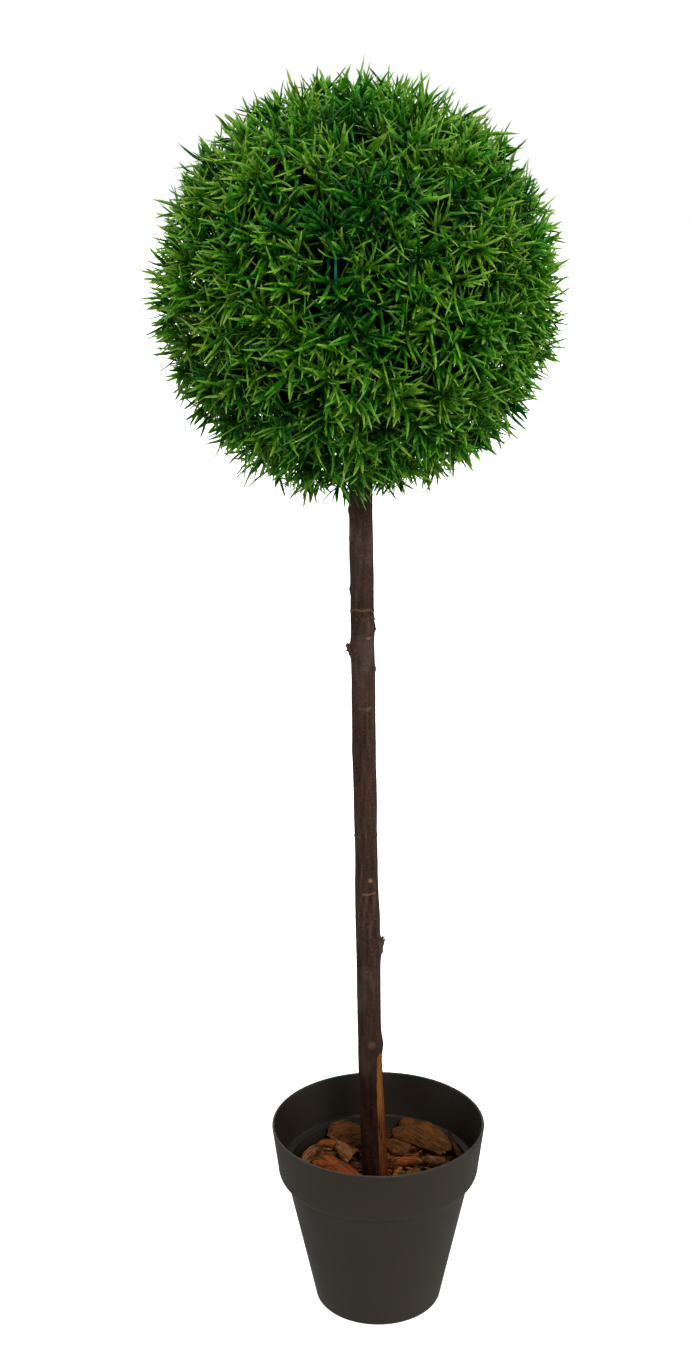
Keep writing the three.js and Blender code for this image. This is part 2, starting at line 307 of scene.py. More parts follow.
# %% [markdown]
# ## The pot
# The real pot is injection-moulded plastic: thin walls with a draft so that it leaves
# the mould, and a wider collar that makes a ledge inside. It could be a cylinder with
# bevels, but turning one profile round the axis gives the wall, the rounded collar foot
# and the soft rim in one closed skin, as the mould does.

# %% The pot's profile
POT_WALL = 0.0025
COLLAR_LOW_RADIUS = 0.1018
COLLAR_LOW = 0.148
BODY_TOP = 0.137
BODY_TOP_RADIUS = 0.0925
BASE_RADIUS = 0.0647
BASE_ROUND = 0.004
CREASE_DROP = 0.004  # where the wall starts to flare into the collar's foot
LEDGE_HEIGHT = 0.146
POT_FLOOR = 0.003

pot_low, pot_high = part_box("pot")
pot_height = pot_high.z
rim_radius = (pot_high.x - pot_low.x) / 2


def arc(middle, across, up, start, end, steps):
    """Points of radius and height on part of an ellipse, by angles in degrees."""
    angles = np.radians(np.linspace(start, end, steps + 1))
    return [(middle[0] + across * math.cos(a), middle[1] + up * math.sin(a)) for a in angles]


def straight(start, end, steps):
    """Points between two corners, without the corners themselves."""
    return [tuple(np.array(start) + (np.array(end) - start) * k / steps) for k in range(1, steps)]


def body_inside(height):
    """The inner radius of the pot's body at a height."""
    share = (height - BASE_ROUND) / (BODY_TOP - BASE_ROUND)
    return BASE_RADIUS + (BODY_TOP_RADIUS - BASE_RADIUS) * share - POT_WALL


def pot_profile():
    """Radius and height from the middle of the underside, up outside, and down inside."""
    lip = POT_WALL / 2
    base = arc((BASE_RADIUS - BASE_ROUND, BASE_ROUND), BASE_ROUND, BASE_ROUND, -90, 0, 8)
    foot = arc(
        (BODY_TOP_RADIUS, COLLAR_LOW), COLLAR_LOW_RADIUS - BODY_TOP_RADIUS,
        COLLAR_LOW - BODY_TOP, -66, 0, 12,
    )
    crease = [
        (BODY_TOP_RADIUS, BODY_TOP - CREASE_DROP), (BODY_TOP_RADIUS + 0.0012, BODY_TOP - 0.0009),
    ]
    rim = arc((rim_radius - lip, pot_height - lip), lip, lip, 0, 180, 10)
    ledge = arc(
        (COLLAR_LOW_RADIUS - 2 * POT_WALL, LEDGE_HEIGHT + POT_WALL), POT_WALL, POT_WALL,
        0, -90, 6,
    )
    ledge_edge = (body_inside(LEDGE_HEIGHT), LEDGE_HEIGHT)
    inner_low = (body_inside(BASE_ROUND), BASE_ROUND)
    return [
        (BASE_RADIUS * 0.5, 0.0), *base, *straight(base[-1], crease[0], 14), *crease, *foot,
        *straight(foot[-1], rim[0], 8), *rim, *straight(rim[-1], ledge[0], 8), *ledge,
        ledge_edge, *straight(ledge_edge, inner_low, 8), inner_low,
        (inner_low[0] - POT_FLOOR, POT_FLOOR), (BASE_RADIUS * 0.5, POT_FLOOR),
    ]


# %% Turn the pot
POT_SIDES = 160


def turn_profile(profile, sides):
    """Points and faces of a profile turned round the upright axis, closed at both ends."""
    radius, height = np.array(profile).T
    angle = 2 * math.pi * np.arange(sides) / sides
    points = np.column_stack([
        np.outer(radius, np.cos(angle)).ravel(),
        np.outer(radius, np.sin(angle)).ravel(),
        np.repeat(height, sides),
    ])
    return closed_rings(points, sides, (0.0, 0.0, height[0]), (0.0, 0.0, height[-1]))


# %% [markdown]
# ### The pot's plastic
# The plastic is dark olive-brown and dull. Up close it has the fine grain of the mould
# and faint cloudy marks from handling. The bump is a tenth of a millimetre, so that it
# breaks up the highlights at the edges without showing as dents. The inside is the same
# plastic in a darker tone, which is painted shade.

# %% Pot plastic
def pot_plastic(name, low, high, grit):
    finish, shader = new_finish(name, paint(low), 0.5, 0.4)
    n = Nodes(finish)
    cloud = n.speckle(14, detail=3)
    grain = n.speckle(900, detail=2)
    tint = n.ramp(cloud, [(0.3, paint(low)), (0.7, paint(high))])
    n.link(n.mix(n.band(grain, 0.55, 0.75, 0.0, 0.35), tint, paint(grit)), shader.inputs["Base Color"])
    n.link(n.band(cloud, 0.3, 0.7, 0.46, 0.58), shader.inputs["Roughness"])
    n.link(n.bump(grain, 0.35, 0.0003), shader.inputs["Normal"])
    return finish


LIP_ROWS = 3  # rows past the top of the rim that still have the outside's tone
pot_outline = pot_profile()
rim_top = max(range(len(pot_outline)), key=lambda k: pot_outline[k][1])
is_inside = np.repeat(np.arange(len(pot_outline) - 1) > rim_top + LIP_ROWS, POT_SIDES)
pot_slots = np.concatenate([is_inside, [False] * POT_SIDES, [True] * POT_SIDES]).astype(int)
pot_points, pot_quads, pot_tris = turn_profile(pot_outline, POT_SIDES)
# the second finish is the same plastic darkened as painted shade on the inside of the pot
pot_finishes = [
    pot_plastic("pot_plastic", "302b1f", "363023", "413b2d"),
    pot_plastic("pot_plastic_painted_shade", "1f180f", "251e13", "2d251a"),
]
pot = make_piece("pot_shell", pot_points, pot_quads, pot_tris, pot_finishes, pot_slots, smooth_to=40)
settle(pot, "pot", "pot")

# %% [markdown]
# ## The filling
# Under the bark, a set filling holds the stick's foot. Only a glimpse of it could ever
# show between chips, and its CAD solid is the right shape, so it stays and gets a rough
# grey-brown finish.

# %% Filling
def set_filling():
    finish, shader = new_finish("set_filling", paint("3b352c"), 0.95, 0.3)
    n = Nodes(finish)
    grit = n.speckle(260, detail=6)
    n.link(n.ramp(grit, [(0.3, paint("1d1915")), (0.7, paint("4b4339"))]), shader.inputs["Base Color"])
    n.link(n.bump(grit, 0.8, 0.001), shader.inputs["Normal"])
    return finish


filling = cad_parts["pot_filling"]
filling.data.materials.clear()
filling.data.materials.append(set_filling())

# %% [markdown]
# ## Bark chips
# Pine bark breaks into layered plates: flat, angular, longer than wide, with torn ends
# and steps where a layer has flaked off. A displaced cube would look like a soft brick,
# so each chip is a plate with its own broken outline, raised in sharp terraces.
# Its long, wide and thin directions are found from the corners of its CAD slab.

# %% Find how a CAD slab lies
def node_points(name):
    """A CAD node's corners, as an array."""
    return np.array([v.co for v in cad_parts[name].data.vertices], float).reshape(-1, 3)


def slab_frame(name):
    """The middle of a slab, its long, wide and thin directions, and its size along them."""
    points = np.unique(np.round(node_points(name), 5), axis=0)
    middle = (points.max(0) + points.min(0)) / 2
    spread, axes = np.linalg.eigh(np.cov((points - points.mean(0)).T))
    axes = axes[:, ::-1].T
    if axes[2, 2] < 0:
        axes[2] *= -1
    if axes[0, 0] < 0:
        axes[0] *= -1
    axes[1] = np.cross(axes[2], axes[0])
    size = np.ptp((points - middle) @ axes.T, axis=0)
    return middle, axes, size


# %% Break a plate's outline
BOXINESS = 3.4  # 2 is an oval, and more is nearer a box
BREAKS = 5


def broken_outline(size, sides, random):
    """Points round a plate of bark: a boxy oval cut by straight breaks, with torn ends."""
    angle = 2 * math.pi * np.arange(sides) / sides
    across, up = np.cos(angle), np.sin(angle)
    reach = (np.abs(across) ** BOXINESS + np.abs(up) ** BOXINESS) ** (-1 / BOXINESS)
    for _ in range(BREAKS):
        facing = np.cos(angle - random.uniform(0, 2 * math.pi))
        cut = random.uniform(0.66, 0.98) / np.maximum(facing, 1e-3)
        reach = np.where(facing > 0.2, np.minimum(reach, cut), reach)
    seed = int(random.integers(1000))
    spots = np.column_stack([across, up, 0 * angle])
    torn = noise(spots, 0.12, seed) * np.abs(across) ** 3 * 0.10
    reach = reach * (1 + 0.05 * layered_noise(spots, 0.5, 3, seed + 5) + torn)
    outline = np.column_stack([reach * across, reach * up])
    return outline / np.abs(outline).max(0) * np.array(size[:2]) / 2


# %% Carve a chip
TERRACES = 4.5  # steps in a chip's thickness


def chip_mesh(size, sides, rings, seed):
    """Points, faces and tip faces of one chip about its middle."""
    random = np.random.default_rng(seed)
    length, width, thickness = size
    share = np.repeat(np.arange(1, rings + 1) / rings, sides)
    outline = broken_outline(size, sides, random)
    flat = np.column_stack([np.tile(outline, (rings, 1)) * share[:, None], np.zeros(sides * rings)])
    flat = np.vstack([flat, [[0, 0, 0]]])
    share = np.append(share, 0)
    plates = 0.75 * layered_noise(flat, (0.018, 0.006, 1), 3, seed + 11) + 1.2 * (1 - share**3)
    steps = np.clip(np.floor(plates * TERRACES) / TERRACES, -0.2, 1.4)
    grain = layered_noise(flat, (0.014, 0.0014, 1), 3, seed + 17)
    warp = width * random.uniform(-0.35, 0.35) * (flat[:, 1] / width) ** 2
    warp += length * random.uniform(-0.14, 0.10) * (flat[:, 0] / length) ** 2
    warp += thickness * random.uniform(-2.0, 2.0) * flat[:, 0] * flat[:, 1] / (length * width)
    top, under = flat.copy(), flat.copy()
    top[:, 2] = warp + thickness * (0.02 + 0.38 * steps + 0.05 * grain)
    rough_under = layered_noise(flat, (0.016, 0.006, 1), 2, seed + 23)
    under[:, 2] = warp - thickness * (0.30 + 0.10 * rough_under - 0.10 * share**6)
    each = len(flat)
    upper, edge = ring_quads(rings, sides), (rings - 1) * sides
    around = np.arange(sides)
    after = (around + 1) % sides
    wall = np.column_stack([
        edge + each + around, edge + each + after, edge + after, edge + around,
    ])
    fan = np.column_stack([around, after, np.full(sides, each - 1)])
    quads = np.vstack([upper[:, ::-1], upper + each, wall])
    return np.vstack([top, under]), quads, np.vstack([fan, fan[:, ::-1] + each])


# %% [markdown]
# ### The bark's colours
# Old outer faces are grey-tan or dark brown, and fresh breaks are rust. Each terrace
# shows its own layer, so the colour changes in flakes with hard edges. Fine dark cracks
# along the grain are painted shade in the grooves of the bump, and pale streaks on its
# ridges are a painted highlight. There are four kinds of bark, and each big chip has one.
# A fifth, straw-coloured, is for strips of inner bark.

# %% Bark finish
def bark_finish(name, main, second, dark, seed):
    finish, shader = new_finish(name, paint(main), 0.85, 0.1)
    n = Nodes(finish)
    flake = n.speckle(75 + seed, detail=5, rough=0.6, stretch=(0.6, 1.5, 1.5), twist=0.8)
    streak = n.speckle(330 + seed, detail=4, rough=0.6, stretch=(0.16, 1.2, 1.2))
    cloud = n.speckle(40 + seed, detail=3)
    face = n.mix(n.band(flake, 0.47, 0.55), paint(main), paint(second))
    face = n.mix(n.band(cloud, 0.52, 0.66, 0.0, 0.65), face, paint(dark))
    # dark grooves along the grain: painted shade
    face = n.mix(n.band(streak, 0.46, 0.36, 0.0, 0.75), face, paint("1e0d06"))
    # pale streaks on the ridges of the grain: painted highlight
    face = n.mix(n.band(streak, 0.56, 0.70, 0.0, 0.22), face, paint("a87a48"))
    n.link(face, shader.inputs["Base Color"])
    n.link(n.bump(n.sum(streak, n.sum(flake, 0.8, "MULTIPLY")), 0.8, 0.0012), shader.inputs["Normal"])
    return finish


BARK_KINDS = {
    "rust": bark_finish("bark_rust", "844015", "583518", "2f1507", 0),
    "tan": bark_finish("bark_tan", "744f2f", "643919", "371f0d", 7),
    "brown": bark_finish("bark_brown", "4f3216", "623611", "291508", 13),
    "dark": bark_finish("bark_dark", "3c1f0d", "2b1508", "160a04", 21),
    "straw": bark_finish("bark_straw", "9c6a2a", "8c5420", "4a2a10", 29),
}
CHIP_KINDS = dict(zip(
    (f"bark_chip_{k:02d}" for k in range(1, 19)),
    "brown rust dark tan rust tan brown dark brown brown rust tan tan rust tan rust dark rust".split(),
))

# %% Lay the chips
CHIP_SIDES = 84
CHIP_RINGS = 18
CHIP_SPREAD = (1.05, 1.08, 0.95)  # the torn edges reach a little past the plain slab

for count, (node, kind) in enumerate(CHIP_KINDS.items()):
    middle, axes, size = slab_frame(node)
    chip_points, chip_quads, chip_tris = chip_mesh(
        size * CHIP_SPREAD, CHIP_SIDES, CHIP_RINGS, seed=50 + 3 * count,
    )
    chip = make_piece(
        node.replace("bark_chip", "chip"), chip_points, chip_quads, chip_tris,
        [BARK_KINDS[kind]], smooth_to=24,
    )
    chip.matrix_world = Matrix.Translation(middle) @ Matrix(axes.T).to_4x4()
    settle(chip, "bark", node)

# %% [markdown]
# ### The fine bark between the chips
# Splinters and small flakes fill the space between the big chips. They are broken from
# the same plates, smaller and with fewer faces, strewn over the bed and joined into one
# piece. Some are long, thin and pale, as inner bark splits into strips.

# %% Strew the fine bark
FINE_PIECES = 520
FINE_SIDES = 16
FINE_RINGS = 3
STRIP_SHARE = 0.22
STRIP_KIND = 4  # straw
KIND_SHARES = [0.20, 0.12, 0.20, 0.48]  # rust, tan, brown and dark flakes
BED_MARGIN = 0.007
bed_low, bed_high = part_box("bark_bed")
bed_radius = (bed_high.x - bed_low.x) / 2


def strewn_bark(count, seed):
    """Many small chips laid over the bed, joined, and a kind for each face."""
    random = np.random.default_rng(seed)
    flakes, quad_kinds, tri_kinds = [], [], []
    for k in range(count):
        strip = random.random() < STRIP_SHARE
        size = np.array([
            random.uniform(0.020, 0.034) if strip else random.uniform(0.008, 0.021),
            random.uniform(0.003, 0.006) if strip else random.uniform(0.005, 0.012),
            random.uniform(0.002, 0.0045),
        ])
        points, quads, tris = chip_mesh(size, FINE_SIDES, FINE_RINGS, seed=700 + k)
        turn = Matrix.Rotation(random.uniform(0, 2 * math.pi), 3, "Z")
        roll = Matrix.Rotation(random.normal(0, 0.4), 3, "X")
        pitch = Matrix.Rotation(random.normal(0, 0.28), 3, "Y")
        reach = (bed_radius - BED_MARGIN) * math.sqrt(random.uniform(0.02, 1))
        round_to = random.uniform(0, 2 * math.pi)
        rise = random.uniform(-0.003, 0.009) * (1.1 - reach / bed_radius * 0.5)
        spot = (reach * math.cos(round_to), reach * math.sin(round_to), bed_high.z + rise)
        flakes.append((points @ np.array(turn @ (roll @ pitch)).T + spot, quads, tris))
        kind = STRIP_KIND if strip else int(random.choice(len(KIND_SHARES), p=KIND_SHARES))
        quad_kinds += [kind] * len(quads)
        tri_kinds += [kind] * len(tris)
    return *join_meshes(flakes), quad_kinds + tri_kinds


fine_points, fine_quads, fine_tris, fine_kinds = strewn_bark(FINE_PIECES, seed=12)
fine_bark = make_piece(
    "fine_bark", fine_points, fine_quads, fine_tris, list(BARK_KINDS.values()), fine_kinds,
    smooth_to=30,
)
settle(fine_bark, "bark", "bark_bed")

# %% [markdown]
# ## The trunk
# The trunk is a real stick, about 22 mm thick, with thin bark, scars, buds and a few
# twig stubs. Near its foot the bark has peeled and bare wood shows. A plain tube with a
# bump map would keep a straight outline, so the relief is in the mesh: a fine grid of
# points is wrapped round the CAD stick's own line, and each point is moved in or out.

# %% Read the stick's line from the CAD trunk
SAME_RING = 2e-4  # corners this close in height belong to one ring
TIP_RADIUS = 0.004  # a smaller ring is only the middle of an end face

stick_points = node_points("trunk")
stick_heights = np.unique(np.round(stick_points[:, 2], 4))
stick_rings = [stick_points[np.abs(stick_points[:, 2] - h) < SAME_RING] for h in stick_heights]
stick_middle = np.array([ring.mean(0) for ring in stick_rings])
stick_radius = np.array([
    np.median(np.hypot(*(ring - middle)[:, :2].T))
    for ring, middle in zip(stick_rings, stick_middle)
])
is_ring = stick_radius > TIP_RADIUS
stick_heights, stick_middle, stick_radius = (
    values[is_ring] for values in (stick_heights, stick_middle, stick_radius)
)


def stick_at(height):
    """The stick's middle and radius at an array of heights."""
    middle = np.column_stack([np.interp(height, stick_heights, stick_middle[:, k]) for k in range(2)])
    return middle, np.interp(height, stick_heights, stick_radius)


print("stick radius", round(float(stick_radius.min()), 4), "to", round(float(stick_radius.max()), 4))

# %% [markdown]
# ### Scars, knots and the peeled strip
# Each mark on the stick is a smooth patch, given by its height, its place round the
# stick, how tall and wide it is, and how far it stands out. Places round the stick are
# angles from the right-hand side, so the front is at minus 90 degrees. The same patches
# tell the material where the wood is pale.

# %% The stick's marks
PEEL_TOP = 0.270
PEEL_MIDDLE = math.radians(-25)
PEEL_HALF = math.radians(38)
PEEL_DEPTH = 0.0011
CRACK_HALF = 0.0009  # half the height of a ring scar

# height, degrees round, half height, half width, stands out, paleness
STICK_MARKS = [
    (0.820, 190, 0.004, 0.003, 0.0012, 0.0),
    (0.800, 215, 0.009, 0.003, 0.0004, 0.2),
    (0.745, 186, 0.004, 0.003, 0.0011, 0.0),
    (0.7090, -24, 0.0055, 0.006, 0.0021, 0.0),
    (0.7010, -48, 0.0030, 0.007, 0.0012, 0.0),
    (0.7000, -62, 0.0016, 0.003, 0.0004, 0.55),
    (0.6870, 192, 0.0085, 0.007, 0.0020, 0.0),
    (0.668, 4, 0.003, 0.003, 0.0010, 0.1),
    (0.655, -100, 0.030, 0.005, 0.0004, 0.0),
    (0.6300, -72, 0.0012, 0.003, 0.0004, 0.4),
    (0.588, 180, 0.012, 0.006, 0.0006, 0.0),
    (0.4575, -72, 0.0022, 0.0024, 0.0014, 0.75),
    (0.4505, -76, 0.0050, 0.0070, 0.0009, 0.0),
    (0.4130, 2, 0.0150, 0.006, 0.0005, 0.0),
    (0.3830, -6, 0.0110, 0.007, 0.0024, 0.0),
    (0.3300, 176, 0.020, 0.007, 0.0004, 0.0),
    (0.2830, -84, 0.005, 0.005, 0.0008, 0.15),
    (0.2790, -15, 0.010, 0.009, 0.0018, 0.0),
]
# height, middle degrees, half span in degrees, stands out, paleness
STICK_RINGS = [
    (0.7260, -90, 120, 0.0005, 0.30),
    (0.7180, -30, 60, 0.0005, 0.12),
    (0.6305, -82, 36, 0.0003, 0.22),
    (0.4425, -78, 36, 0.0005, 0.40),
    (0.5020, -90, 180, 0.0005, 0.0),
]


def turn_between(angle, middle):
    """The turn from one angle to another, from minus to plus half a turn."""
    return (angle - middle + math.pi) % (2 * math.pi) - math.pi


def mark_patches(angle, height, radius):
    """How far the marks raise the bark, and how pale they make it."""
    raised, pale = np.zeros_like(angle), np.zeros_like(angle)
    for at, round_to, half_height, half_width, out, light in STICK_MARKS:
        aside = turn_between(angle, math.radians(round_to)) * radius / half_width
        patch = np.exp(-((height - at) / half_height) ** 2 - aside**2)
        raised += out * patch
        pale = np.maximum(pale, light * np.clip(patch * 1.6 - 0.5, 0, 1))
    for at, round_to, span, out, light in STICK_RINGS:
        aside = turn_between(angle, math.radians(round_to))
        bow = at + 0.0012 * np.cos(2 * aside) + 0.0006 * np.sin(5 * angle)
        patch = np.exp(-((height - bow) / CRACK_HALF) ** 2) * (np.abs(aside) < math.radians(span))
        raised += out * patch
        pale = np.maximum(pale, light * patch)
    return raised, pale


# %% Wrap the bark round the stick
STICK_SIDES = 104
STICK_STEP = 0.00115
BARK_RADIUS = 0.0113  # the bark's patterns are laid out on an even tube


def peel_share(angle, height, skin):
    """One on the bare wood and nought on the bark, with a ragged edge between."""
    wander = 0.10 * layered_noise(skin, (0.004, 0.004, 0.02), 3, 61)
    narrow = np.clip((PEEL_TOP - height) / 0.03, 0, 1) ** 0.5
    widened = np.clip((0.24 - height) / 0.10, 0, 1)
    half = PEEL_HALF * (0.74 + 0.2 * narrow + 0.42 * widened)
    inside = half + wander - np.abs(turn_between(angle, PEEL_MIDDLE))
    below = (PEEL_TOP + 0.004 * noise(skin, 0.003, 67) - height) / 0.0015
    return np.clip(inside / 0.05, 0, 1) * np.clip(below, 0, 1)


def stick_mesh():
    """Points, faces and marks of the whole stick."""
    levels = np.arange(stick_heights[0], stick_heights[-1], STICK_STEP)
    turns = 2 * math.pi * np.arange(STICK_SIDES) / STICK_SIDES
    height = np.repeat(levels, STICK_SIDES)
    angle = np.tile(turns, len(levels))
    middle, radius = stick_at(height)
    skin = np.column_stack([np.cos(angle) * BARK_RADIUS, np.sin(angle) * BARK_RADIUS, height])
    raised, pale = mark_patches(angle, height, radius)
    bare = peel_share(angle, height, skin)
    swell = 0.0003 + 0.0006 * noise(skin, (0.05, 0.05, 0.06), 31)
    swell += 0.00035 * noise(skin, (0.012, 0.012, 0.03), 33)
    fibre = 0.00016 * layered_noise(skin, (0.0022, 0.0022, 0.018), 3, 37)
    wrinkle = 0.00012 * layered_noise(skin, (0.006, 0.006, 0.0016), 2, 41)
    pores = np.clip(noise(skin, (0.0024, 0.0024, 0.0011), 43) - 0.62, 0, 1) * 0.0006
    wood = 0.00018 * layered_noise(skin, (0.0012, 0.0012, 0.05), 3, 47)
    lip = 0.0006 * np.exp(-((bare - 0.18) / 0.14) ** 2)
    out = radius + swell + raised + lip
    out = out + np.where(bare > 0.5, wood, fibre + wrinkle + pores) - PEEL_DEPTH * bare
    points = np.column_stack([
        middle[:, 0] + out * np.cos(angle), middle[:, 1] + out * np.sin(angle), height,
    ])
    low_end, high_end = points[:STICK_SIDES].mean(0), points[-STICK_SIDES:].mean(0)
    marks = {"pale": np.append(pale, [0, 0]), "bare": np.append(bare, [0, 0])}
    return *closed_rings(points, STICK_SIDES, low_end, high_end), marks


# %% [markdown]
# ### The stick's bark and bare wood
# Above the peel the bark is brown-grey with lilac-grey bloom and fine pale pores. Below
# it, the stick is dark red-brown. The bare strip is pale tan at its top and turns to
# rust further down. The mesh's own marks say where each one is.

# %% Stick finish
def stick_finish():
    finish, shader = new_finish("stick_bark", paint("432d22"), 0.7, 0.15)
    n = Nodes(finish)
    height = n.add("ShaderNodeSeparateXYZ")
    n.link(n.add("ShaderNodeTexCoord").outputs["Object"], height.inputs["Vector"])
    fibre = n.speckle(260, detail=5, rough=0.6, stretch=(1, 1, 0.12))
    bloom = n.speckle(46, detail=5, stretch=(1, 1, 0.5))
    blush = n.speckle(85, detail=4, stretch=(1, 1, 1.3))
    fleck = n.speckle(620, detail=2, stretch=(0.6, 0.6, 1.4))
    bark = n.ramp(fibre, [(0.28, paint("20130d")), (0.5, paint("3f2c22")), (0.72, paint("584438"))])
    bark = n.mix(n.band(bloom, 0.48, 0.66, 0.0, 0.55), bark, paint("5c4d43"))
    bark = n.mix(n.band(blush, 0.52, 0.66, 0.0, 0.55), bark, paint("4c271b"))
    bark = n.mix(n.band(fleck, 0.60, 0.70, 0.0, 0.45), bark, paint("7d6757"))
    bark = n.mix(n.band(fleck, 0.40, 0.30, 0.0, 0.5), bark, paint("1d110b"))
    low = n.sum(height.outputs["Z"], n.sum(n.sum(bloom, 0.5, "SUBTRACT"), 0.06, "MULTIPLY"))
    bark = n.mix(n.band(low, 0.40, 0.30, 0.0, 0.4), bark, paint("2c1a12"))
    bark = n.mix(n.band(low, 0.283, 0.236), bark, n.ramp(
        fibre, [(0.3, paint("0e0402")), (0.5, paint("240e07")), (0.75, paint("3a190e"))],
    ))
    low_fleck = n.sum(fleck, n.band(low, 0.27, 0.20, 0.0, 0.12))
    bark = n.mix(n.band(low_fleck, 0.67, 0.78, 0.0, 0.4), bark, paint("5e3c28"))
    bark = n.mix(n.mark("pale"), bark, paint("b08a63"))
    grain = n.speckle(700, detail=4, stretch=(1, 1, 0.03))
    pale_wood = n.ramp(grain, [(0.3, paint("663a14")), (0.6, paint("8c5622")), (0.8, paint("a87038"))])
    rust_wood = n.ramp(grain, [(0.32, paint("2e1207")), (0.5, paint("5e2e12")), (0.72, paint("86471d"))])
    wood = n.mix(n.band(low, 0.225, 0.195), pale_wood, rust_wood)
    n.link(n.mix(n.band(n.mark("bare"), 0.4, 0.6), bark, wood), shader.inputs["Base Color"])
    n.link(n.band(fibre, 0.3, 0.7, 0.62, 0.8), shader.inputs["Roughness"])
    relief = n.bump(n.sum(fibre, n.sum(fleck, 0.4, "MULTIPLY")), 0.5, 0.0006)
    n.link(relief, shader.inputs["Normal"])
    return finish


stick_skin, stick_quads, stick_tris, stick_marks = stick_mesh()
stick_bark = stick_finish()
trunk = make_piece("trunk_stick", stick_skin, stick_quads, stick_tris, [stick_bark], smooth_to=60)
for mark_name, mark_values in stick_marks.items():
    add_marks(trunk, mark_name, mark_values)
settle(trunk, "trunk", "trunk")

# %% [markdown]
# ### Twig stubs
# Where twigs were broken off, short stubs stand out of the bark with a splintered end.
# A stub is a tapering tube with a lumpy skin, and its last ring is torn into splinters
# of different lengths. The thinnest one is a sliver of bare wood that has curled off.

# %% Grow the stubs
# height, degrees round, length, foot radius, lift in degrees, share of bare wood
STUBS = [
    (0.6850, 194, 0.0088, 0.0044, 50, 0),
    (0.6860, 204, 0.0058, 0.0032, 18, 0),
    (0.3815, -6, 0.0120, 0.0052, 62, 0),
    (0.7070, -14, 0.0022, 0.0042, 20, 0),
    (0.7215, -8, 0.0052, 0.0011, -58, 1),
]
STUB_SIDES = 18
STUB_LEVELS = 9
STUB_ROOT = 0.002  # how deep a stub's foot is sunk in the stick
STUB_PALENESS = 0.06


def stub_arrays(height, round_to, length, foot, lift, seed):
    """Points, faces and tip faces of one stub."""
    random = np.random.default_rng(seed)
    middle, radius = stick_at(np.array([height]))
    out = np.array([math.cos(math.radians(round_to)), math.sin(math.radians(round_to)), 0.0])
    aim = out * math.cos(math.radians(lift)) + np.array([0, 0, math.sin(math.radians(lift))])
    side = np.cross([0, 0, 1], out)
    up = np.cross(aim, side)
    start = np.append(middle[0], height) + out * (radius[0] - STUB_ROOT)
    splinters = random.uniform(0.72, 1.15, STUB_SIDES)
    points = []
    for level in range(STUB_LEVELS):
        share = level / (STUB_LEVELS - 1)
        thick = foot * (1.25 - 0.85 * share**0.7)
        for k in range(STUB_SIDES):
            angle = 2 * math.pi * k / STUB_SIDES
            reach = share * (length + STUB_ROOT) * (1 + (splinters[k] - 1) * share**2)
            lump = thick * (1 + random.uniform(-0.09, 0.09))
            points.append(start + aim * reach + lump * (side * math.cos(angle) + up * math.sin(angle)))
    return closed_rings(
        np.array(points), STUB_SIDES, start, start + aim * (length + STUB_ROOT) * 0.66,
    )


stub_meshes = [stub_arrays(*stub, seed=80 + count) for count, (*stub, _) in enumerate(STUBS)]
stub_points, stub_quads, stub_tris = join_meshes(stub_meshes)
stubs = make_piece("twig_stubs", stub_points, stub_quads, stub_tris, [stick_bark], smooth_to=40)
add_marks(stubs, "pale", np.full(len(stub_points), STUB_PALENESS))
add_marks(stubs, "bare", np.repeat([bare for *_, bare in STUBS], len(stub_meshes[0][0])))
settle(stubs, "trunk")

# %% [markdown]
# ## The core
# The sprigs are pushed into sockets on a hollow plastic ball, which is hardly seen
# behind the leaves. It is turned from a half circle, in two bowls with a seam, and each
# sprig gets a short socket round its foot.

# %% The core's place and size
core_low, core_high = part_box("core_lower")
core_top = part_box("core_upper")[1]
ball_middle = np.array([(core_low.x + core_high.x) / 2, (core_low.y + core_high.y) / 2, 0.0])
core_radius = (core_high.y - core_low.y) / 2
ball_middle[2] = core_top.z - core_radius
print("ball middle", ball_middle.round(4), "core radius", round(core_radius, 4))


# %% Core plastic
def core_plastic_and_shade():
    # the core's near-black green is partly its own dark plastic and partly painted shade of the deep
    # gaps between the leaves
    finish, shader = new_finish("core_plastic_and_shade", paint("061509"), 0.7, 0.1)
    n = Nodes(finish)
    cloud = n.speckle(40, detail=3)
    n.link(n.ramp(cloud, [(0.3, paint("020804")), (0.7, paint("051208"))]), shader.inputs["Base Color"])
    n.link(n.bump(cloud, 0.3, 0.001), shader.inputs["Normal"])
    return finish


core_green_and_shade = core_plastic_and_shade()

# %% Turn the two bowls
CORE_WALL = 0.003
CORE_SIDES = 72
CORE_STEPS = 30
TRUNK_HOLE = 5.4  # degrees of latitude from the pole
SEAM_HALF = 0.1  # degrees


def core_bowl(name, start, end):
    """One half of the core between two angles of latitude, in degrees."""
    inner = core_radius - CORE_WALL
    outside = arc((0, 0), core_radius, core_radius, start, end, CORE_STEPS)
    inside = arc((0, 0), inner, inner, end, start, CORE_STEPS)
    points, quads, _ = turn_profile(outside + inside, CORE_SIDES)
    points = points[:-2] + ball_middle
    closing = ring_quads(2, CORE_SIDES)
    closing = np.where(closing < CORE_SIDES, closing + len(points), closing) - CORE_SIDES
    return make_piece(
        name, points, np.vstack([quads, closing]), materials=[core_green_and_shade], smooth_to=40,
    )


lower_core = core_bowl("core_bowl_lower", -90 + TRUNK_HOLE, -SEAM_HALF)
upper_core = core_bowl("core_bowl_upper", SEAM_HALF, 89.5)
settle(lower_core, "core", "core_lower")
settle(upper_core, "core", "core_upper")

# %% [markdown]
# ### The moulded strip
# On the front, a short upright strip of blue-green plastic shows between the leaves. It
# is a rib of the moulding, so it is a thin closed bar that stands out of the core, and a
# small gap is left in the leaves in front of it.

# %% Make the strip
STRIP_MIDDLE = np.array([-0.0346, -0.152, 1.040])
STRIP_HALF = np.array([0.0011, 0.0012, 0.0135])
STRIP_CLEAR = 0.0055  # leaves in front of the strip keep this far to its side
STRIP_DEPTH = 0.008  # leaves further behind the strip than this may cross it


